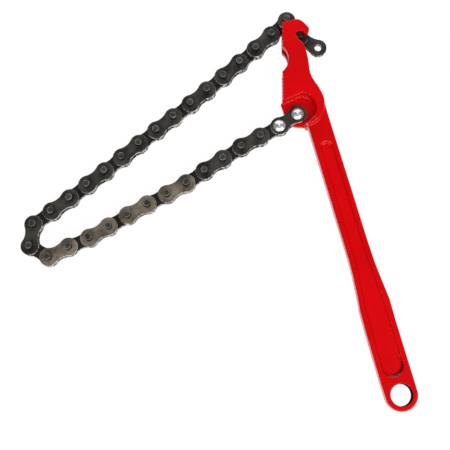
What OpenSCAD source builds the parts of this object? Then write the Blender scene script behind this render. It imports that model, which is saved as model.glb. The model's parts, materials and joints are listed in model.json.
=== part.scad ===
// Chain wrench: a forged handle with a forked hook head, and a flat link chain
// anchored at a tang, laid round in a slack loop and hooked back on the head.
// The hang hole is at the origin, the handle lies along Y and the pins stand along Z.

/* [Chain] */
// distance between two pins
pitch = 15.875; // [14:0.125:17]
// pin diameter
pin_d = 5; // [4.4:0.1:5.4]
// thickness of one plate
plate_t = 1.7; // [1.4:0.1:1.9]
// end radius of an outer plate
outer_r = 6.5; // [5.8:0.1:6.8]
// end radius of an inner plate
inner_r = 6.3; // [5.6:0.1:6.5]
// half height of a plate at its waist
waist = 4.7; // [4:0.1:5]
// how far a pin stands out of an outer plate
pin_reach = 4.2; // [3.6:0.1:4.8]
// chamfer at the ends of a pin
pin_chamfer = 0.4; // [0.2:0.1:0.6]
// diameter of a rivet head
rivet_head_d = 9; // [7.5:0.1:10]
// height of a rivet head
rivet_head_h = 1.9; // [1.4:0.1:2.3]

/* [Fits] */
// radial clearance of a turning link on its pin
run_clear = 0.05; // [0.02:0.01:0.1]
// radial clearance of a pin in its own plates
fit_clear = 0.02; // [0.01:0.01:0.04]
// clearance between plates that turn past each other
side_clear = 0.12; // [0.06:0.02:0.2]
// clearance of the chain in the head's slot, each side
slot_clear = 0.4; // [0.3:0.05:0.7]
// clearance of the hooked pin in its seat
seat_clear = 0.15; // [0.1:0.05:0.3]
// clearance of the tang lobe to the second link
lobe_clear = 0.3; // [0.2:0.05:0.6]

/* [Lay of the chain] */
// direction of the hooked link, from its outer pin to the seat
hook_dir = 290.4; // [286:0.2:294]
// direction of the free tail link
tail_dir = 314; // [300:1:325]
// turn of the first bend link against the lower run
bend_1 = -60; // [-70:1:-50]
// turn of the second bend link against the lower run
bend_2 = -127; // [-140:1:-110]

/* [Head] */
// tang rivet across the handle
tang_x = -12.9; // [-14:0.1:-12]
// tang rivet along the handle
tang_y = 211.1; // [207:0.1:214]
// hook seat from the tang rivet, across the handle
seat_across = 17.7; // [16.9:0.1:18.5]
// hook seat from the tang rivet, along the handle
seat_rise = 56.7; // [55:0.1:59]
// thickness over both cheeks
head_t = 18.4; // [17.8:0.2:21]
// lean of the toothed jaw against the handle
jaw_lean = 15.5; // [14:0.5:16.5]
// tooth pitch
tooth_p = 2.5; // [2:0.1:3]
// tooth depth
tooth_d = 0.8; // [0.5:0.1:1]
// radius of the jaw notch
notch_r = 12.9; // [11:0.1:14]
// radius of the chain pocket at the cheek's face
pocket_r = 11.8; // [11.4:0.1:12.4]
// draft of the pocket's wall, from the tang to the face
pocket_draft = 0.8; // [0.4:0.1:1.4]
// radius of the raised boss round the pocket
boss_r = 16.3; // [15.8:0.1:17]

/* [Handle] */
// thickness of the handle at its rims
handle_t = 9.5; // [8.5:0.5:11]
// width of the shank below the head
shank_w = 16.3; // [15:0.1:18]
// width of the grip
grip_w = 22.3; // [20.5:0.1:24]
// end of the shank's even width, along the handle
taper_top = 92; // [85:1:100]
// start of the grip's full width, along the handle
taper_low = 62; // [50:1:70]
// diameter of the hang hole
hole_d = 15.2; // [13:0.2:16]
// radius of the handle's end
end_r = 11.2; // [10.8:0.1:12]
// depth of the recessed panel
panel_d = 1.7; // [1:0.1:2.5]
// width of the rims beside the panel
rim_w = 3.9; // [3:0.1:4.6]

/* [Hidden] */
$fn = 72;
eps = 0.01;
// levels of the chain plates from the middle plane
in_z0 = 0.02;
in_z1 = in_z0 + plate_t;
out_z0 = in_z1 + side_clear;
out_z1 = out_z0 + plate_t;
pin_z = out_z1 + pin_reach;
rivet_z = out_z1 + rivet_head_h;
slot_h = out_z1 + slot_clear;
tang_h = in_z1;
run_r = pin_d / 2 + run_clear;
fit_r = pin_d / 2 + fit_clear;
seat_r = pin_d / 2 + seat_clear;
// pins of the chain: the anchor rivet, the seat and the pin before the seat
T = [tang_x, tang_y];
B = T + [seat_across, seat_rise];
A = B - pitch * [cos(hook_dir), sin(hook_dir)];
// small turns of the links against their own run, as the slack chain lies
low_lay = [4, -1, -1, 4, 4, 5, 0, -2, 0, 1, 1, -6, -2];
up_lay = [-3, -3, -1, -1, 0, 0, -1, -1, -1, 1, 1, 2, 2, 3, 4];
low_rel = concat(low_lay, [bend_1, bend_2]);
up_rel = up_lay;
function total(list, i = 0) = i == len(list) ? [0, 0] : list[i] + total(list, i + 1);
function span(rel) = total([for (r = rel) pitch * [cos(r), sin(r)]]);
function heading(v) = atan2(v[1], v[0]);
// the two runs close a triangle over the line from the tang to the hooked link
w_low = span(low_rel);
w_up = span(up_rel);
reach = A - T;
apex = acos((norm(w_low) ^ 2 + norm(reach) ^ 2 - norm(w_up) ^ 2) / (2 * norm(w_low) * norm(reach)));
low_dir = heading(reach) + apex - heading(w_low);
far = T + norm(w_low) * [cos(heading(reach) + apex), sin(heading(reach) + apex)];
up_dir = heading(A - far) - heading(w_up);
// direction of every link and the place of every pin, from the tang to the tail
dirs = concat([for (r = low_rel) low_dir + r], [for (r = up_rel) up_dir + r], [hook_dir, tail_dir]);
n_links = len(dirs);
function walk(i) = i == 0 ? T : walk(i - 1) + pitch * [cos(dirs[i - 1]), sin(dirs[i - 1])];
pins = [for (i = [0:n_links]) walk(i)];
// the head's outline follows the jaw line, the seat and the tang
pocket = T + [2.4, 2.4];
boss = T + [4.7, 5.4];
function pocket_wall(x) = pocket + [x, pocket_r - 2 + 0.144 * x];
jaw = T + [-8.2, 11.4];
function on_jaw(along, off = 0) = jaw + along * [sin(jaw_lean), cos(jaw_lean)]
    + off * [cos(jaw_lean), -sin(jaw_lean)];
// height of the hook's bridge, between the two pins that straddle it
hook_h = -pitch * sin(hook_dir) - pin_d / 2 - 2 * seat_clear;
jaw_len = (B[1] + hook_h - 0.3 - jaw[1]) / cos(jaw_lean);
notch_at = 31.5;
notch = on_jaw(notch_at, 4.5 - notch_r);
slot_floor = tang_y + 27;
lobe_r = pitch - inner_r - lobe_clear;
function turn(c, r, a0, a1, n) =
    [for (i = [0:n]) c + r * [cos(a0 + (a1 - a0) * i / n), sin(a0 + (a1 - a0) * i / n)]];
// an open line with its corners cut, its ends kept
function eased(p) = concat(
    [p[0]], [for (i = [0:len(p) - 2], s = [0.25, 0.75]) p[i] + s * (p[i + 1] - p[i])], [p[len(p) - 1]]
);
// the seat runs out to a point behind the pin, on two lines that just clear it
seat_apex = seat_r / cos(38) * [cos(158), sin(158)];
seat_lip = seat_r * [cos(196), sin(196)] + 3 * [cos(286), sin(286)];
function crown(x, share) = B + [x, hook_h * share];
nose = concat(
    [crown(-7, 1), crown(-3.7, 1), crown(-0.6, 0.985), crown(1.8, 0.945), crown(3.8, 0.82), crown(5.4, 0.63)],
    [crown(6.8, 0.41), B + [7.7, 2.6], B + [7.7, 1.3], B + [7, 0.1]],
    [B + [6.3, -0.8], B + [5.4, -1.2], B + [4.6, -0.9]]
);
beak = concat(eased(eased(nose)), turn(B, seat_r, 48, 120, 10), [B + seat_apex]);
neck = [
    B + seat_lip, B + [-0.5, -5.8], B + [0.4, -8], B + [0.9, -11], B + [0.9, -15],
    B + [0.6, -20], B + [-0.2, -25], B + [-0.9, -30], B + [-0.7, -34], B + [0.4, -38],
];
head_line = concat(
    beak, eased(eased(concat(neck, [boss + [14.6, 9.7], boss + [15.4, 6.5], boss + [16, 3.4]]))),
    turn(boss, boss_r, 3, -90, 20),
    [T + [-4, -4], T + [0.8, 11.6], on_jaw(-1)], [on_jaw(jaw_len)]
);
// the handle's outline, from the head to the hang hole
shank_line = concat(
    [[-shank_w / 2, tang_y - 2], [-shank_w / 2 + 0.3, 145], [-shank_w / 2 + 0.2, taper_top + 6]],
    [[-shank_w / 2 - 0.2, taper_top - 4], [-grip_w / 2 + 1.4, taper_low + 8], [-grip_w / 2 + 0.4, taper_low]],
    [[-grip_w / 2, taper_low - 16], [-grip_w / 2 - 0.2, 12]],
    turn([0, 0], end_r, 178, 362, 28),
    [[grip_w / 2 + 0.1, 12], [grip_w / 2, taper_low - 12], [grip_w / 2 + 0.3, taper_low + 3]],
    [[grip_w / 2 - 0.7, taper_low + 14], [shank_w / 2 + 1, taper_top], [shank_w / 2 + 0.6, taper_top + 14]],
    [[shank_w / 2 + 0.4, 140], [shank_w / 2, tang_y - 10], [shank_w / 2, tang_y + 2], [0, tang_y + 16]]
);
panel_top = tang_y - 26;
panel_low = hole_d / 2 + 5.6;
panel_w = grip_w - 2 * rim_w;
panel_n = shank_w - 2 * rim_w;
panel_line = concat(
    turn([0.4, panel_top - panel_n / 2], panel_n / 2, 0, 180, 14),
    [[-panel_n / 2 + 0.5, taper_top + 4], [-panel_n / 2 - 0.6, taper_top - 8]],
    [[-panel_w / 2 + 0.6, taper_low]],
    turn([-0.2, panel_low + panel_w / 2], panel_w / 2, 180, 360, 18),
    [[panel_w / 2 - 0.4, taper_low], [panel_n / 2 + 1.2, taper_top - 4], [panel_n / 2 + 0.6, taper_top + 8]]
);
echo(pins = pins);
echo(dirs = dirs);

// figure eight of a link plate between two pins
module plate_shape(r) {
    fill_r = (pitch ^ 2 / 4 + waist ^ 2 - r ^ 2) / (2 * (r - waist));
    share = r / (r + fill_r);
    difference() {
        union() {
            circle(r = r);
            translate([pitch, 0]) circle(r = r);
            translate([pitch / 2 * share, -(waist + fill_r) * share])
                square([pitch * (1 - share), 2 * (waist + fill_r) * share]);
        }
        for (s = [-1, 1]) translate([pitch / 2, s * (waist + fill_r)]) circle(r = fill_r);
    }
}

// plate with its two holes, from level z
module plate(r, hole_r, z) {
    translate([0, 0, z]) linear_extrude(plate_t) difference() {
        plate_shape(r);
        circle(r = hole_r);
        translate([pitch, 0]) circle(r = hole_r);
    }
}

// frame of link i, from its first pin along the link
module at_link(i) {
    translate([pins[i - 1][0], pins[i - 1][1], 0]) rotate([0, 0, dirs[i - 1]]) children();
}

module inner_link(i) {
    at_link(i) {
        plate(inner_r, run_r, in_z0);
        plate(inner_r, run_r, -in_z1);
    }
}

module outer_link(i) {
    at_link(i) {
        plate(outer_r, fit_r, out_z0);
        plate(outer_r, fit_r, -out_z1);
    }
}

// long pin with chamfered ends
module pin() {
    rotate_extrude() polygon([
        [0, -pin_z], [pin_d / 2 - pin_chamfer, -pin_z], [pin_d / 2, -pin_z + pin_chamfer],
        [pin_d / 2, pin_z - pin_chamfer], [pin_d / 2 - pin_chamfer, pin_z], [0, pin_z],
    ]);
}

module link_pins(i) {
    at_link(i) {
        pin();
        translate([pitch, 0, 0]) pin();
    }
}

// domed rivet with a dimple in each head
module rivet() {
    dome_r = (rivet_head_d ^ 2 / 4 + rivet_head_h ^ 2) / (2 * rivet_head_h);
    difference() {
        union() {
            cylinder(d = pin_d, h = 2 * (out_z1 + 2 * fit_clear), center = true);
            for (m = [0, 1]) mirror([0, 0, m]) intersection() {
                translate([0, 0, rivet_z - dome_r]) sphere(r = dome_r);
                translate([0, 0, out_z1 + fit_clear]) cylinder(d = rivet_head_d, h = rivet_head_h + 1);
            }
        }
        for (s = [-1, 1]) translate([0, 0, s * (rivet_z + 0.9)]) sphere(r = 1.5);
    }
}

module tang_rivet() {
    color([0.8, 0.8, 0.8]) at_link(1) rivet();
}

module link_rivet() {
    color([0.8, 0.8, 0.8]) at_link(1) translate([pitch, 0, 0]) rivet();
}

module anchor_plates() {
    color([0.2, 0.2, 0.2]) outer_link(1);
}

// row of teeth cut into the jaw, from one length along it to another
module teeth(a0, a1) {
    for (a = [a0:tooth_p:a1]) let (p = on_jaw(a)) translate([p[0], p[1], 0])
        rotate([0, 0, 45 - jaw_lean]) cube([tooth_d * sqrt(2), tooth_d * sqrt(2), head_t + 2], center = true);
}

module handle() {
    color([0.8, 0.05, 0.05]) difference() {
        union() {
            linear_extrude(head_t, center = true) polygon(head_line);
            linear_extrude(handle_t, center = true) polygon(shank_line);
            linear_extrude(2 * tang_h, center = true) union() {
                translate(T) circle(r = lobe_r);
                polygon([T + [-9.6, 10.8], T + [-9.2, 2], T, T + [2, 13], T + [-8, 11.4]]);
                polygon([T, T + lobe_r * [cos(250), sin(250)], T + lobe_r * [cos(250), sin(250)]
                    + 7 * [cos(340), sin(340)], T + [4, -6]]);
                intersection() {
                    translate(pocket) circle(r = pocket_r);
                    translate(T + [1, -pocket_r * 2]) square(pocket_r * 4);
                }
            }
        }
        // slot between the cheeks
        translate([-60, slot_floor, -slot_h]) cube([120, 80, 2 * slot_h]);
        // pocket on both sides of the tang, open to the lower left, under a straight wall
        for (m = [0, 1]) mirror([0, 0, m]) translate([0, 0, tang_h]) intersection() {
            union() {
                translate(pocket)
                    cylinder(r1 = pocket_r - pocket_draft, r2 = pocket_r, h = head_t / 2 - tang_h);
                translate(pocket) translate([0, 0, head_t / 2 - tang_h - eps]) cylinder(r = pocket_r, h = 2);
                linear_extrude(head_t) polygon([
                    pocket + [0, 2 * pocket_r], pocket + [-30, 2 * pocket_r],
                    pocket + [-30, -pocket_r], pocket + [0, -pocket_r],
                ]);
            }
            linear_extrude(head_t) polygon([
                pocket_wall(30), pocket_wall(-40), T + [-40, -40], T + [30, -40],
            ]);
        }
        // jaw notch and teeth
        translate(notch) cylinder(r = notch_r, h = head_t + 2, center = true);
        teeth(2, notch_at - 11);
        teeth(notch_at + 11.5, jaw_len - 6);
        translate(T) cylinder(r = run_r, h = head_t, center = true);
        // recessed panels and the hang hole
        for (m = [0, 1]) mirror([0, 0, m]) translate([0, 0, handle_t / 2 - panel_d])
            linear_extrude(panel_d + 1) polygon(panel_line);
        cylinder(d = hole_d, h = handle_t + 2, center = true);
    }
}

module inner_02() {
    color([0.2, 0.2, 0.2]) inner_link(2);
}

module outer_03() {
    color([0.2, 0.2, 0.2]) outer_link(3);
}

module pins_03() {
    color([0.4, 0.4, 0.4]) link_pins(3);
}

module inner_04() {
    color([0.2, 0.2, 0.2]) inner_link(4);
}

module outer_05() {
    color([0.2, 0.2, 0.2]) outer_link(5);
}

module pins_05() {
    color([0.4, 0.4, 0.4]) link_pins(5);
}

module inner_06() {
    color([0.2, 0.2, 0.2]) inner_link(6);
}

module outer_07() {
    color([0.2, 0.2, 0.2]) outer_link(7);
}

module pins_07() {
    color([0.4, 0.4, 0.4]) link_pins(7);
}

module inner_08() {
    color([0.2, 0.2, 0.2]) inner_link(8);
}

module outer_09() {
    color([0.2, 0.2, 0.2]) outer_link(9);
}

module pins_09() {
    color([0.4, 0.4, 0.4]) link_pins(9);
}

module inner_10() {
    color([0.2, 0.2, 0.2]) inner_link(10);
}

module outer_11() {
    color([0.2, 0.2, 0.2]) outer_link(11);
}

module pins_11() {
    color([0.4, 0.4, 0.4]) link_pins(11);
}

module inner_12() {
    color([0.2, 0.2, 0.2]) inner_link(12);
}

module outer_13() {
    color([0.2, 0.2, 0.2]) outer_link(13);
}

module pins_13() {
    color([0.4, 0.4, 0.4]) link_pins(13);
}

module inner_14() {
    color([0.2, 0.2, 0.2]) inner_link(14);
}

module outer_15() {
    color([0.2, 0.2, 0.2]) outer_link(15);
}

module pins_15() {
    color([0.4, 0.4, 0.4]) link_pins(15);
}

module inner_16() {
    color([0.2, 0.2, 0.2]) inner_link(16);
}

module outer_17() {
    color([0.2, 0.2, 0.2]) outer_link(17);
}

module pins_17() {
    color([0.4, 0.4, 0.4]) link_pins(17);
}

module inner_18() {
    color([0.2, 0.2, 0.2]) inner_link(18);
}

module outer_19() {
    color([0.2, 0.2, 0.2]) outer_link(19);
}

module pins_19() {
    color([0.4, 0.4, 0.4]) link_pins(19);
}

module inner_20() {
    color([0.2, 0.2, 0.2]) inner_link(20);
}

module outer_21() {
    color([0.2, 0.2, 0.2]) outer_link(21);
}

module pins_21() {
    color([0.4, 0.4, 0.4]) link_pins(21);
}

module inner_22() {
    color([0.2, 0.2, 0.2]) inner_link(22);
}

module outer_23() {
    color([0.2, 0.2, 0.2]) outer_link(23);
}

module pins_23() {
    color([0.4, 0.4, 0.4]) link_pins(23);
}

module inner_24() {
    color([0.2, 0.2, 0.2]) inner_link(24);
}

module outer_25() {
    color([0.2, 0.2, 0.2]) outer_link(25);
}

module pins_25() {
    color([0.4, 0.4, 0.4]) link_pins(25);
}

module inner_26() {
    color([0.2, 0.2, 0.2]) inner_link(26);
}

module outer_27() {
    color([0.2, 0.2, 0.2]) outer_link(27);
}

module pins_27() {
    color([0.4, 0.4, 0.4]) link_pins(27);
}

module inner_28() {
    color([0.2, 0.2, 0.2]) inner_link(28);
}

module outer_29() {
    color([0.2, 0.2, 0.2]) outer_link(29);
}

module pins_29() {
    color([0.4, 0.4, 0.4]) link_pins(29);
}

module inner_30() {
    color([0.2, 0.2, 0.2]) inner_link(30);
}

module outer_31() {
    color([0.2, 0.2, 0.2]) outer_link(31);
}

module pins_31() {
    color([0.4, 0.4, 0.4]) link_pins(31);
}

module inner_32() {
    color([0.2, 0.2, 0.2]) inner_link(32);
}

handle();
tang_rivet();
link_rivet();
anchor_plates();
inner_02();
outer_03();
pins_03();
inner_04();
outer_05();
pins_05();
inner_06();
outer_07();
pins_07();
inner_08();
outer_09();
pins_09();
inner_10();
outer_11();
pins_11();
inner_12();
outer_13();
pins_13();
inner_14();
outer_15();
pins_15();
inner_16();
outer_17();
pins_17();
inner_18();
outer_19();
pins_19();
inner_20();
outer_21();
pins_21();
inner_22();
outer_23();
pins_23();
inner_24();
outer_25();
pins_25();
inner_26();
outer_27();
pins_27();
inner_28();
outer_29();
pins_29();
inner_30();
outer_31();
pins_31();
inner_32();
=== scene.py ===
"""Looks of a chain wrench: a red enamelled forging with a dark flat link chain hooked on its head."""

import json
import math

import bpy
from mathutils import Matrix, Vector


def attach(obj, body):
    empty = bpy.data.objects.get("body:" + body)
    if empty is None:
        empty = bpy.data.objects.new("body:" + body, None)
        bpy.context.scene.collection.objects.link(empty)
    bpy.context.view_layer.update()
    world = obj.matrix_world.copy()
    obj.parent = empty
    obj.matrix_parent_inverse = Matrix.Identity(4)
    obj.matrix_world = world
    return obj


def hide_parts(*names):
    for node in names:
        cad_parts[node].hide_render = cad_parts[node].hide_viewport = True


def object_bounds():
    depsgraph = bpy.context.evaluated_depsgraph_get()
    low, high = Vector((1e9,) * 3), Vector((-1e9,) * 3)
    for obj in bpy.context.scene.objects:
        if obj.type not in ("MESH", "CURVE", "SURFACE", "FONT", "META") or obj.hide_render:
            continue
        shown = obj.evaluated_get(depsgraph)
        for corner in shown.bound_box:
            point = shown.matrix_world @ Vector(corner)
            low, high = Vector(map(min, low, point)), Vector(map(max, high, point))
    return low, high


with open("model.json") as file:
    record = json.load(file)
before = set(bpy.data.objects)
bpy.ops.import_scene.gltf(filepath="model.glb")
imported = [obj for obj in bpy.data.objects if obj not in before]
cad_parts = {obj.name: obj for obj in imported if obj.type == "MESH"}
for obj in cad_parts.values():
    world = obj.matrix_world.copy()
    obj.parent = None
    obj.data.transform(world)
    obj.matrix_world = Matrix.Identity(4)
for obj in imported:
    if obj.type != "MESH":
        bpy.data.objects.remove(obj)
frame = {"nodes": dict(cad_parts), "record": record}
cad_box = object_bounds()
scene = bpy.context.scene
scene.view_settings.view_transform = "Standard"

MM = 0.001

# places taken from the frame
RECORD = frame["record"]
PINS = {joint["name"]: Vector(joint["pos_m"]) for joint in RECORD["behaviour"]["joints"]}
SLOTS = {part["node"]: part["material_slot"] for part in RECORD["subparts"]}
TANG = PINS["tang_hinge"]
HOOK_SEAT = PINS["hook_hinge"]
TAIL_LINK = "inner_32"
TABLE_Z = cad_box[0][2] - 0.1 * MM

# the forging: its skin, and the places that are worked softer or left crisp
SKIN_VOXEL = 0.4 * MM
SKIN_FACES = 95000
JAW_FOOT = TANG + Vector((-8.2, 11.4, 0)) * MM
JAW_LEAN = math.radians(15.5)
JAW_FROM = TANG.y + 10.4 * MM
JAW_TO = TANG.y + 64.9 * MM
TOOTH_BAND = 1.2 * MM
POCKET = TANG + Vector((2.4, 2.4, 0)) * MM
POCKET_R = 11.8 * MM
WALL_RISE = 9.8 * MM
WALL_SLOPE = 0.144
WALL_BAND = 2.4 * MM
BOSS = TANG + Vector((4.7, 5.4, 0)) * MM
BOSS_R = 16.3 * MM
STEP_BAND = 2 * MM
FILLETS_ABOVE = 3 * MM
PANEL_FROM = 12 * MM
PANEL_TO = 187.5 * MM
PANEL_HALF_WIDTH = 9.5 * MM
PANEL_NARROWING = 2.8 * MM
TAPER_FROM = 62 * MM
TAPER_LENGTH = 30 * MM
HOLE_RING = 9.5 * MM
HOLE_SOFTNESS = 0.4

# broken edges of the turned and punched pieces
RIVET_EDGE = 0.08 * MM
PIN_EDGE = 0.3 * MM
PLATE_EDGE = 0.22 * MM
SHARP = math.radians(40)

# finishes and painted shade that depend on a place
# painted shade: the bore of the hang hole is painted dark; it is also made matt
BORE_FROM = 7.75 * MM
BORE_TO = 8 * MM
# painted shade: a dark crescent at the panel's lower end, inside the end's circle and outside a
# shifted circle
PANEL_END = (-0.2 * MM, 20.45 * MM, 0)
PANEL_END_FROM = 7.5 * MM
PANEL_END_TO = 7.1 * MM
CRESCENT_CUT = (-1.2 * MM, 22.15 * MM, 0)
CRESCENT_CUT_FROM = 6.6 * MM
CRESCENT_CUT_TO = 8.2 * MM
# painted shade: the pin in the hook seat is darkened, as if in the beak's shadow
SEAT_SHADE_FROM = 9 * MM
SEAT_SHADE_TO = 10.5 * MM

# the studio
EYE = (-99.64 * MM, 27.13 * MM, 630.74 * MM)
EYE_TURN = (10.697, 1.5635, -15.196)
LENS = 72
SENSOR = 36
MIDDLE = (-0.1, 0.15, 0)
TABLE_SIZE = 6
WORLD_LIGHT = 0.12


# working on one piece at a time


def only(piece):
    """Selects this piece alone and makes it active."""
    bpy.ops.object.select_all(action="DESELECT")
    piece.select_set(True)
    bpy.context.view_layer.objects.active = piece


def blank_from(node, name):
    """A merged copy of a solid, as the blank that a finished piece is worked from."""
    mesh = frame["nodes"][node].data.copy()
    mesh.materials.clear()
    piece = bpy.data.objects.new(name, mesh)
    scene.collection.objects.link(piece)
    only(piece)
    bpy.ops.object.mode_set(mode="EDIT")
    bpy.ops.mesh.select_all(action="SELECT")
    bpy.ops.mesh.remove_doubles(threshold=2e-6)
    bpy.ops.mesh.dissolve_limited(angle_limit=math.radians(0.5))
    bpy.ops.object.mode_set(mode="OBJECT")
    return piece


def apply_modifiers(piece):
    only(piece)
    for modifier in list(piece.modifiers):
        bpy.ops.object.modifier_apply(modifier=modifier.name)


def seat(piece, node, body, material):
    """Puts a finished piece in the place of its solid."""
    piece.data.materials.append(material)
    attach(piece, body)
    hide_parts(node)


# nodes for the finishes


def add(tree, kind, **settings):
    """A node with its sockets set by number, as in_0, and its other settings by name."""
    node = tree.nodes.new(kind)
    for key, value in settings.items():
        if key.startswith("in_"):
            node.inputs[int(key[3:])].default_value = value
        else:
            setattr(node, key, value)
    return node


def group(name, inputs, outputs):
    tree = bpy.data.node_groups.new(name, "ShaderNodeTree")
    for label, kind, value in inputs:
        socket = tree.interface.new_socket(label, in_out="INPUT", socket_type=kind)
        socket.default_value = value
    for label, kind in outputs:
        tree.interface.new_socket(label, in_out="OUTPUT", socket_type=kind)
    return tree, tree.nodes.new("NodeGroupInput"), tree.nodes.new("NodeGroupOutput")


def mottle_group():
    """Uneven tone of an oxide or a coat: coarse clouds and fine specks between two colours."""
    tree, given, out = group(
        "Mottle",
        [
            ("Dark", "NodeSocketColor", (0, 0, 0, 1)),
            ("Light", "NodeSocketColor", (1, 1, 1, 1)),
            ("Cloud Scale", "NodeSocketFloat", 60.0),
            ("Speck Scale", "NodeSocketFloat", 900.0),
        ],
        [("Color", "NodeSocketColor"), ("Speck", "NodeSocketFloat")],
    )
    place = add(tree, "ShaderNodeTexCoord")
    cloud = add(tree, "ShaderNodeTexNoise")
    cloud.inputs["Detail"].default_value = 4
    speck = add(tree, "ShaderNodeTexNoise")
    speck.inputs["Detail"].default_value = 6
    speck.inputs["Roughness"].default_value = 0.65
    both = add(tree, "ShaderNodeMath", operation="MULTIPLY_ADD", in_1=0.45)
    span = add(tree, "ShaderNodeMapRange", in_1=0.57, in_2=0.87)
    mix = add(tree, "ShaderNodeMix", data_type="RGBA")
    link = tree.links.new
    link(place.outputs["Object"], cloud.inputs["Vector"])
    link(place.outputs["Object"], speck.inputs["Vector"])
    link(given.outputs["Cloud Scale"], cloud.inputs["Scale"])
    link(given.outputs["Speck Scale"], speck.inputs["Scale"])
    link(speck.outputs["Fac"], both.inputs[0])
    link(cloud.outputs["Fac"], both.inputs[2])
    link(both.outputs[0], span.inputs["Value"])
    link(span.outputs["Result"], mix.inputs["Factor"])
    link(given.outputs["Dark"], mix.inputs["A"])
    link(given.outputs["Light"], mix.inputs["B"])
    link(mix.outputs["Result"], out.inputs["Color"])
    link(speck.outputs["Fac"], out.inputs["Speck"])
    return tree


def rim_group():
    """Mask of the faces that stand upright, with the broken streaks that punching leaves on them."""
    tree, given, out = group(
        "Punched Rim",
        [
            ("Streaks", "NodeSocketFloat", 500.0),
            ("From", "NodeSocketFloat", 0.35),
            ("To", "NodeSocketFloat", 0.75),
        ],
        [("Rim", "NodeSocketFloat"), ("Streak", "NodeSocketFloat"), ("Flatness", "NodeSocketFloat")],
    )
    place = add(tree, "ShaderNodeTexCoord")
    parts = add(tree, "ShaderNodeSeparateXYZ")
    flat = add(tree, "ShaderNodeMath", operation="ABSOLUTE")
    upright = add(tree, "ShaderNodeMapRange", in_1=0.97, in_2=0.5)
    squeeze = add(tree, "ShaderNodeMapping", vector_type="POINT")
    squeeze.inputs["Scale"].default_value = (1, 1, 0.3)
    noise = add(tree, "ShaderNodeTexNoise")
    noise.inputs["Detail"].default_value = 3
    broken = add(tree, "ShaderNodeMapRange")
    link = tree.links.new
    link(place.outputs["Normal"], parts.inputs[0])
    link(parts.outputs["Z"], flat.inputs[0])
    link(flat.outputs[0], upright.inputs["Value"])
    link(place.outputs["Object"], squeeze.inputs["Vector"])
    link(squeeze.outputs[0], noise.inputs["Vector"])
    link(given.outputs["Streaks"], noise.inputs["Scale"])
    link(noise.outputs["Fac"], broken.inputs["Value"])
    link(given.outputs["From"], broken.inputs["From Min"])
    link(given.outputs["To"], broken.inputs["From Max"])
    link(upright.outputs["Result"], out.inputs["Rim"])
    link(flat.outputs[0], out.inputs["Flatness"])
    link(broken.outputs["Result"], out.inputs["Streak"])
    return tree


MOTTLE = mottle_group()
RIM = rim_group()


def finish_tree(name):
    material = bpy.data.materials.new(name)
    material.use_nodes = True
    tree = material.node_tree
    return material, tree, tree.nodes["Principled BSDF"]


def placed(tree, shared, **values):
    """A shared group placed in a material, with its inputs set by name."""
    node = tree.nodes.new("ShaderNodeGroup")
    node.node_tree = shared
    for key, value in values.items():
        node.inputs[key.replace("_", " ")].default_value = value
    return node


def toned(tree, dark, light, clouds, specks):
    return placed(tree, MOTTLE, Dark=dark, Light=light, Cloud_Scale=clouds, Speck_Scale=specks)


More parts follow.
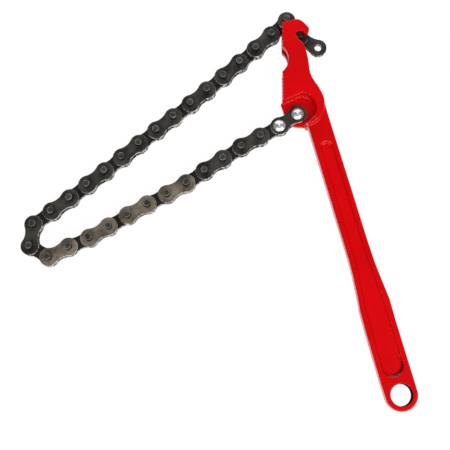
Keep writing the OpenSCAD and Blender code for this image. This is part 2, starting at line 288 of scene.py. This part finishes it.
def enamel():
    """Thick glossy red enamel with a faint orange peel.

    The bore of the hang hole is painted dark as shade and left dull, and a dark crescent of painted
    shade lies in the panel's lower corner.
    """
    material, tree, coat = finish_tree("Red enamel")
    tone = toned(tree, (0.555, 0.0, 0.0011, 1), (0.665, 0.0, 0.002, 1), 22.0, 420.0)
    place = add(tree, "ShaderNodeTexCoord")
    peel = add(tree, "ShaderNodeTexNoise")
    peel.inputs["Scale"].default_value = 820
    peel.inputs["Detail"].default_value = 2
    bump = add(tree, "ShaderNodeBump")
    bump.inputs["Strength"].default_value = 0.45
    bump.inputs["Distance"].default_value = 0.00025
    rough = add(tree, "ShaderNodeMapRange", in_3=0.16, in_4=0.26)
    across = add(tree, "ShaderNodeVectorMath", operation="MULTIPLY", in_1=(1, 1, 0))
    radius = add(tree, "ShaderNodeVectorMath", operation="LENGTH")
    bore = add(tree, "ShaderNodeMapRange", in_1=BORE_FROM, in_2=BORE_TO)
    # painted shade: the bore of the hang hole is painted dark red-black, and the masks below make it
    # matt
    bore_shade = add(tree, "ShaderNodeMix", data_type="RGBA")
    bore_shade.inputs["A"].default_value = (0.035, 0.008, 0.008, 1)
    gloss = add(tree, "ShaderNodeMapRange", in_3=0.02, in_4=0.22)
    shine = add(tree, "ShaderNodeMapRange", in_3=0.0, in_4=0.15)
    matt = add(tree, "ShaderNodeMapRange", in_3=1.0, in_4=0.0)
    dull = add(tree, "ShaderNodeMath", operation="MAXIMUM")
    # painted shade: a dark crescent along the wall at the panel's lower end
    corner = add(tree, "ShaderNodeVectorMath", operation="DISTANCE", in_1=PANEL_END)
    crescent_cut = add(tree, "ShaderNodeVectorMath", operation="DISTANCE", in_1=CRESCENT_CUT)
    inside = add(tree, "ShaderNodeMapRange", in_1=PANEL_END_FROM, in_2=PANEL_END_TO)
    outside = add(tree, "ShaderNodeMapRange", in_1=CRESCENT_CUT_FROM, in_2=CRESCENT_CUT_TO)
    painted_shade = add(tree, "ShaderNodeMath", operation="MULTIPLY")
    shaded_corner = add(tree, "ShaderNodeMix", data_type="RGBA", blend_type="MULTIPLY")
    shaded_corner.inputs["B"].default_value = (0.12, 0.1, 0.1, 1)
    link = tree.links.new
    link(place.outputs["Object"], across.inputs[0])
    link(across.outputs[0], radius.inputs[0])
    link(radius.outputs["Value"], bore.inputs["Value"])
    link(bore.outputs["Result"], bore_shade.inputs["Factor"])
    for masked in (gloss, shine, matt):
        link(bore.outputs["Result"], masked.inputs["Value"])
    link(tone.outputs["Color"], bore_shade.inputs["B"])
    link(across.outputs[0], corner.inputs[0])
    link(across.outputs[0], crescent_cut.inputs[0])
    link(corner.outputs["Value"], inside.inputs["Value"])
    link(crescent_cut.outputs["Value"], outside.inputs["Value"])
    link(inside.outputs["Result"], painted_shade.inputs[0])
    link(outside.outputs["Result"], painted_shade.inputs[1])
    link(painted_shade.outputs[0], shaded_corner.inputs["Factor"])
    link(bore_shade.outputs["Result"], shaded_corner.inputs["A"])
    link(shaded_corner.outputs["Result"], coat.inputs["Base Color"])
    link(gloss.outputs["Result"], coat.inputs["Specular IOR Level"])
    link(tone.outputs["Speck"], rough.inputs["Value"])
    link(rough.outputs["Result"], dull.inputs[0])
    link(matt.outputs["Result"], dull.inputs[1])
    link(dull.outputs[0], coat.inputs["Roughness"])
    link(place.outputs["Object"], peel.inputs["Vector"])
    link(peel.outputs["Fac"], bump.inputs["Height"])
    link(bump.outputs["Normal"], coat.inputs["Normal"])
    link(shine.outputs["Result"], coat.inputs["Coat Weight"])
    coat.inputs["Coat Roughness"].default_value = 0.07
    return material


def plate_steel(name, dark, light, rim):
    """Oiled and oxidised plate with lighter, broken punched edges: the streaks of punching, painted
    light as a highlight too.
    """
    material, tree, steel = finish_tree(name)
    tone = toned(tree, dark, light, 110.0, 1500.0)
    edge = placed(tree, RIM, Streaks=620.0, From=0.38, To=0.62)
    amount = add(tree, "ShaderNodeMath", operation="MULTIPLY")
    mix = add(tree, "ShaderNodeMix", data_type="RGBA")
    # the light edge colour on upright faces: partly punched metal, partly a painted highlight
    mix.inputs["B"].default_value = rim
    rough = add(tree, "ShaderNodeMapRange", in_3=0.42, in_4=0.66)
    bump = add(tree, "ShaderNodeBump")
    bump.inputs["Strength"].default_value = 0.12
    bump.inputs["Distance"].default_value = 0.0003
    link = tree.links.new
    link(edge.outputs["Rim"], amount.inputs[0])
    link(edge.outputs["Streak"], amount.inputs[1])
    link(amount.outputs[0], mix.inputs["Factor"])
    link(tone.outputs["Color"], mix.inputs["A"])
    link(mix.outputs["Result"], steel.inputs["Base Color"])
    link(tone.outputs["Speck"], rough.inputs["Value"])
    link(rough.outputs["Result"], steel.inputs["Roughness"])
    link(tone.outputs["Speck"], bump.inputs["Height"])
    link(bump.outputs["Normal"], steel.inputs["Normal"])
    steel.inputs["Metallic"].default_value = 0.1
    steel.inputs["Specular IOR Level"].default_value = 0.2
    return material


def pin_steel():
    """Hardened pin: grey ends, a worn chamfer painted four times lighter as wear and as a painted
    highlight, darker upright sides, and painted shade on the pin in the hook seat.
    """
    material, tree, steel = finish_tree("Pin steel")
    tone = toned(tree, (0.02, 0.019, 0.017, 1), (0.066, 0.062, 0.056, 1), 300.0, 1800.0)
    edge = placed(tree, RIM, Streaks=400.0, From=0.2, To=0.5)
    # by how upright the face is: darker upright sides, and a chamfer four times lighter, as wear and
    # as a painted highlight
    wear_and_highlight = add(tree, "ShaderNodeValToRGB")
    ramp = wear_and_highlight.color_ramp
    ramp.elements[0].position, ramp.elements[0].color = 0.4, (0.3, 0.3, 0.3, 1)
    ramp.elements[1].position, ramp.elements[1].color = 0.985, (1, 1, 1, 1)
    for flatness, tint in ((0.58, 4.0), (0.95, 4.0)):
        stop = ramp.elements.new(flatness)
        stop.color = (tint, tint, tint, 1)
    worn = add(tree, "ShaderNodeMix", data_type="RGBA", blend_type="MULTIPLY")
    worn.inputs["Factor"].default_value = 1
    place = add(tree, "ShaderNodeTexCoord")
    # painted shade: the pin near the hook seat is darkened to 0.3
    away = add(tree, "ShaderNodeVectorMath", operation="DISTANCE", in_1=HOOK_SEAT)
    unshaded = add(tree, "ShaderNodeMapRange", in_1=SEAT_SHADE_FROM, in_2=SEAT_SHADE_TO, in_3=0.3, in_4=1.0)
    seat_shaded = add(tree, "ShaderNodeMix", data_type="RGBA", blend_type="MULTIPLY")
    seat_shaded.inputs["Factor"].default_value = 1
    rough = add(tree, "ShaderNodeMapRange", in_3=0.36, in_4=0.6)
    link = tree.links.new
    link(place.outputs["Object"], away.inputs[0])
    link(away.outputs["Value"], unshaded.inputs["Value"])
    link(edge.outputs["Flatness"], wear_and_highlight.inputs["Fac"])
    link(tone.outputs["Color"], worn.inputs["A"])
    link(wear_and_highlight.outputs["Color"], worn.inputs["B"])
    link(worn.outputs["Result"], seat_shaded.inputs["A"])
    link(unshaded.outputs["Result"], seat_shaded.inputs["B"])
    link(seat_shaded.outputs["Result"], steel.inputs["Base Color"])
    link(tone.outputs["Speck"], rough.inputs["Value"])
    link(rough.outputs["Result"], steel.inputs["Roughness"])
    steel.inputs["Metallic"].default_value = 0.3
    steel.inputs["Specular IOR Level"].default_value = 0.35
    return material


def bright_steel():
    """Bright plated rivet, lightly scuffed."""
    material, tree, steel = finish_tree("Bright rivet")
    tone = toned(tree, (0.6, 0.66, 0.7, 1), (0.7, 0.75, 0.78, 1), 300.0, 1400.0)
    rough = add(tree, "ShaderNodeMapRange", in_3=0.2, in_4=0.27)
    tree.links.new(tone.outputs["Color"], steel.inputs["Base Color"])
    tree.links.new(tone.outputs["Speck"], rough.inputs["Value"])
    tree.links.new(rough.outputs["Result"], steel.inputs["Roughness"])
    steel.inputs["Metallic"].default_value = 0.66
    return material


# the third colour of each plate finish goes on the upright punched edges, partly as a painted
# highlight
FINISHES = {
    "red_enamel": enamel(),
    "black_oxide": plate_steel(
        "Black oxide", (0.0145, 0.013, 0.0112, 1), (0.055, 0.05, 0.0437, 1), (0.75, 0.72, 0.68, 1)
    ),
    "brown_oxide": plate_steel(
        "Brown oxide", (0.071, 0.058, 0.045, 1), (0.215, 0.176, 0.137, 1), (0.75, 0.71, 0.66, 1)
    ),
    "pin_steel": pin_steel(),
    "bright_steel": bright_steel(),
}
# a darker copy of the black oxide: painted shade on the inner plates, where the outer plates shade
# them
SHADED_INNER = plate_steel(
    "Oiled black oxide", (0.005, 0.0045, 0.004, 1), (0.016, 0.015, 0.0135, 1), (0.6, 0.58, 0.55, 1)
)


# the pieces


def on_teeth(x, y):
    jaw_x = JAW_FOOT.x + (y - JAW_FOOT.y) * math.tan(JAW_LEAN)
    return JAW_FROM < y < JAW_TO and abs(x - jaw_x) < TOOTH_BAND


def in_panel(x, y):
    """Inside the recessed panel of the handle or on the inner edge of its rim."""
    taper = min(max((y - TAPER_FROM) / TAPER_LENGTH, 0.0), 1.0)
    return PANEL_FROM < y < PANEL_TO and abs(x) < PANEL_HALF_WIDTH - PANEL_NARROWING * taper


def on_fillet(x, y):
    """Along the walls of the tang's pocket, or on the step from the boss to the shank."""
    wall = POCKET.y + WALL_RISE + WALL_SLOPE * (x - POCKET.x)
    from_pocket = math.hypot(x - POCKET.x, y - POCKET.y)
    from_boss = math.hypot(x - BOSS.x, y - BOSS.y)
    right_part = x > POCKET.x - 1.5 * MM and y < wall + 2 * MM
    round_wall = abs(from_pocket - POCKET_R) < WALL_BAND and right_part
    beside_jaw = TANG.x - 5.6 * MM < x < TANG.x + 8.9 * MM
    straight_wall = abs(y - wall) < WALL_BAND and beside_jaw
    over_shank = TANG.x + 5.4 * MM < x < TANG.x + 20.7 * MM and y < TANG.y - 5.1 * MM
    step = abs(from_boss - BOSS_R) < STEP_BAND and over_shank
    return round_wall or straight_wall or step


def smoothed(piece, name, iterations, vertex_group):
    modifier = piece.modifiers.new(name, "SMOOTH")
    modifier.factor = 0.5
    modifier.iterations = iterations
    modifier.vertex_group = vertex_group


def forging():
    """The handle with the soft edges and fillets of a drop forging; the teeth stay crisp."""
    piece = blank_from("handle", "wrench_handle")
    skin = piece.modifiers.new("Skin", "REMESH")
    skin.mode = "VOXEL"
    skin.voxel_size = SKIN_VOXEL
    apply_modifiers(piece)
    soft = piece.vertex_groups.new(name="soft")
    sunk = piece.vertex_groups.new(name="sunk")
    worn = piece.vertex_groups.new(name="worn")
    for vertex in piece.data.vertices:
        x, y, z = vertex.co
        toothed = on_teeth(x, y)
        softness = HOLE_SOFTNESS if math.hypot(x, y) < HOLE_RING else 1.0
        soft.add([vertex.index], 0.0 if toothed else softness, "REPLACE")
        if in_panel(x, y):
            sunk.add([vertex.index], 1.0, "REPLACE")
        if abs(z) > FILLETS_ABOVE and not toothed and on_fillet(x, y):
            worn.add([vertex.index], 1.0, "REPLACE")
    smoothed(piece, "Dished panel", 40, "sunk")
    smoothed(piece, "Soft edges", 5, "soft")
    smoothed(piece, "Forged fillets", 12, "worn")
    thin = piece.modifiers.new("Thinned", "DECIMATE")
    thin.ratio = min(1.0, SKIN_FACES / len(piece.data.polygons))
    apply_modifiers(piece)
    only(piece)
    bpy.ops.object.shade_smooth()
    seat(piece, "handle", "handle", FINISHES["red_enamel"])


def eased(node, name, width, segments):
    """A punched or turned piece with its sharp edges broken."""
    piece = blank_from(node, name)
    bevel = piece.modifiers.new("Broken edge", "BEVEL")
    bevel.width = width
    bevel.segments = segments
    bevel.limit_method = "ANGLE"
    bevel.angle_limit = SHARP
    bevel.use_clamp_overlap = True
    apply_modifiers(piece)
    only(piece)
    bpy.ops.object.shade_smooth_by_angle(angle=math.radians(35))
    return piece


def chain():
    """Rivets, pins and plates; the inner plates are painted darker as the shade between the outer
    plates, except on the tail link, which lies in the open.
    """
    for body, nodes in RECORD["behaviour"]["bodies"].items():
        for node in nodes:
            finish = FINISHES[SLOTS[node]]
            if node == "handle":
                continue
            if "rivet" in node:
                piece = eased(node, node + "_turned", RIVET_EDGE, 2)
            elif node.startswith("pins"):
                piece = eased(node, node + "_turned", PIN_EDGE, 3)
            else:
                piece = eased(node, node + "_punched", PLATE_EDGE, 2)
                # inner plates get the darker copy as painted shade; the tail link lies in the open
                # and keeps the plain black oxide
                if node.startswith("inner") and node != TAIL_LINK:
                    finish = SHADED_INNER
            seat(piece, node, body, finish)


# camera, table and light


def camera():
    data = bpy.data.cameras.new("Camera")
    data.lens = LENS
    data.sensor_width = SENSOR
    eye = bpy.data.objects.new("Camera", data)
    eye.location = EYE
    eye.rotation_euler = [math.radians(turn) for turn in EYE_TURN]
    scene.collection.objects.link(eye)
    scene.camera = eye


def table():
    """A white table that keeps a faint shadow where the camera or a shiny surface sees it."""
    bpy.ops.object.select_all(action="DESELECT")
    bpy.ops.mesh.primitive_plane_add(size=TABLE_SIZE, location=(MIDDLE[0], MIDDLE[1], TABLE_Z))
    top = bpy.context.object
    top.name = "table"
    material = bpy.data.materials.new("White table")
    material.use_nodes = True
    tree = material.node_tree
    tree.nodes.clear()
    out = add(tree, "ShaderNodeOutputMaterial")
    paint = add(tree, "ShaderNodeBsdfDiffuse", in_0=(0.9, 0.9, 0.9, 1))
    shaded = add(tree, "ShaderNodeBsdfDiffuse", in_0=(0.05, 0.05, 0.05, 1))
    glow = add(tree, "ShaderNodeEmission", in_0=(1, 1, 1, 1), in_1=0.965)
    white = add(tree, "ShaderNodeAddShader")
    path = add(tree, "ShaderNodeLightPath")
    mirrored = add(tree, "ShaderNodeMath", operation="MAXIMUM")
    through = add(tree, "ShaderNodeMath", operation="MAXIMUM")
    seen = add(tree, "ShaderNodeMixShader")
    link = tree.links.new
    link(shaded.outputs[0], white.inputs[0])
    link(glow.outputs[0], white.inputs[1])
    link(path.outputs["Is Camera Ray"], mirrored.inputs[0])
    link(path.outputs["Is Glossy Ray"], mirrored.inputs[1])
    link(mirrored.outputs[0], through.inputs[0])
    link(path.outputs["Is Transmission Ray"], through.inputs[1])
    link(through.outputs[0], seen.inputs[0])
    link(paint.outputs[0], seen.inputs[1])
    link(white.outputs[0], seen.inputs[2])
    link(seen.outputs[0], out.inputs["Surface"])
    top.data.materials.append(material)


def softbox(name, place, width, height, watts):
    """A soft rectangular lamp, turned to the middle of the tool."""
    data = bpy.data.lights.new(name, "AREA")
    data.shape = "RECTANGLE"
    data.size = width
    data.size_y = height
    data.energy = watts
    lamp = bpy.data.objects.new(name, data)
    lamp.location = place
    aim = Vector(MIDDLE) - Vector(place)
    lamp.rotation_euler = aim.to_track_quat("-Z", "Y").to_euler()
    scene.collection.objects.link(lamp)


def studio():
    world = bpy.data.worlds.new("Studio")
    scene.world = world
    world.use_nodes = True
    back = world.node_tree.nodes["Background"]
    back.inputs["Color"].default_value = (1, 1, 1, 1)
    back.inputs["Strength"].default_value = WORLD_LIGHT
    softbox("key", (0.5, -0.75, 0.95), 1.0, 1.0, 14.5)
    softbox("fill", (-0.75, -0.6, 0.95), 1.0, 1.0, 10.5)
    softbox("back", (0.123, 0.97, 0.42), 1.3, 0.75, 6.2)


camera()
table()
studio()
forging()
chain()
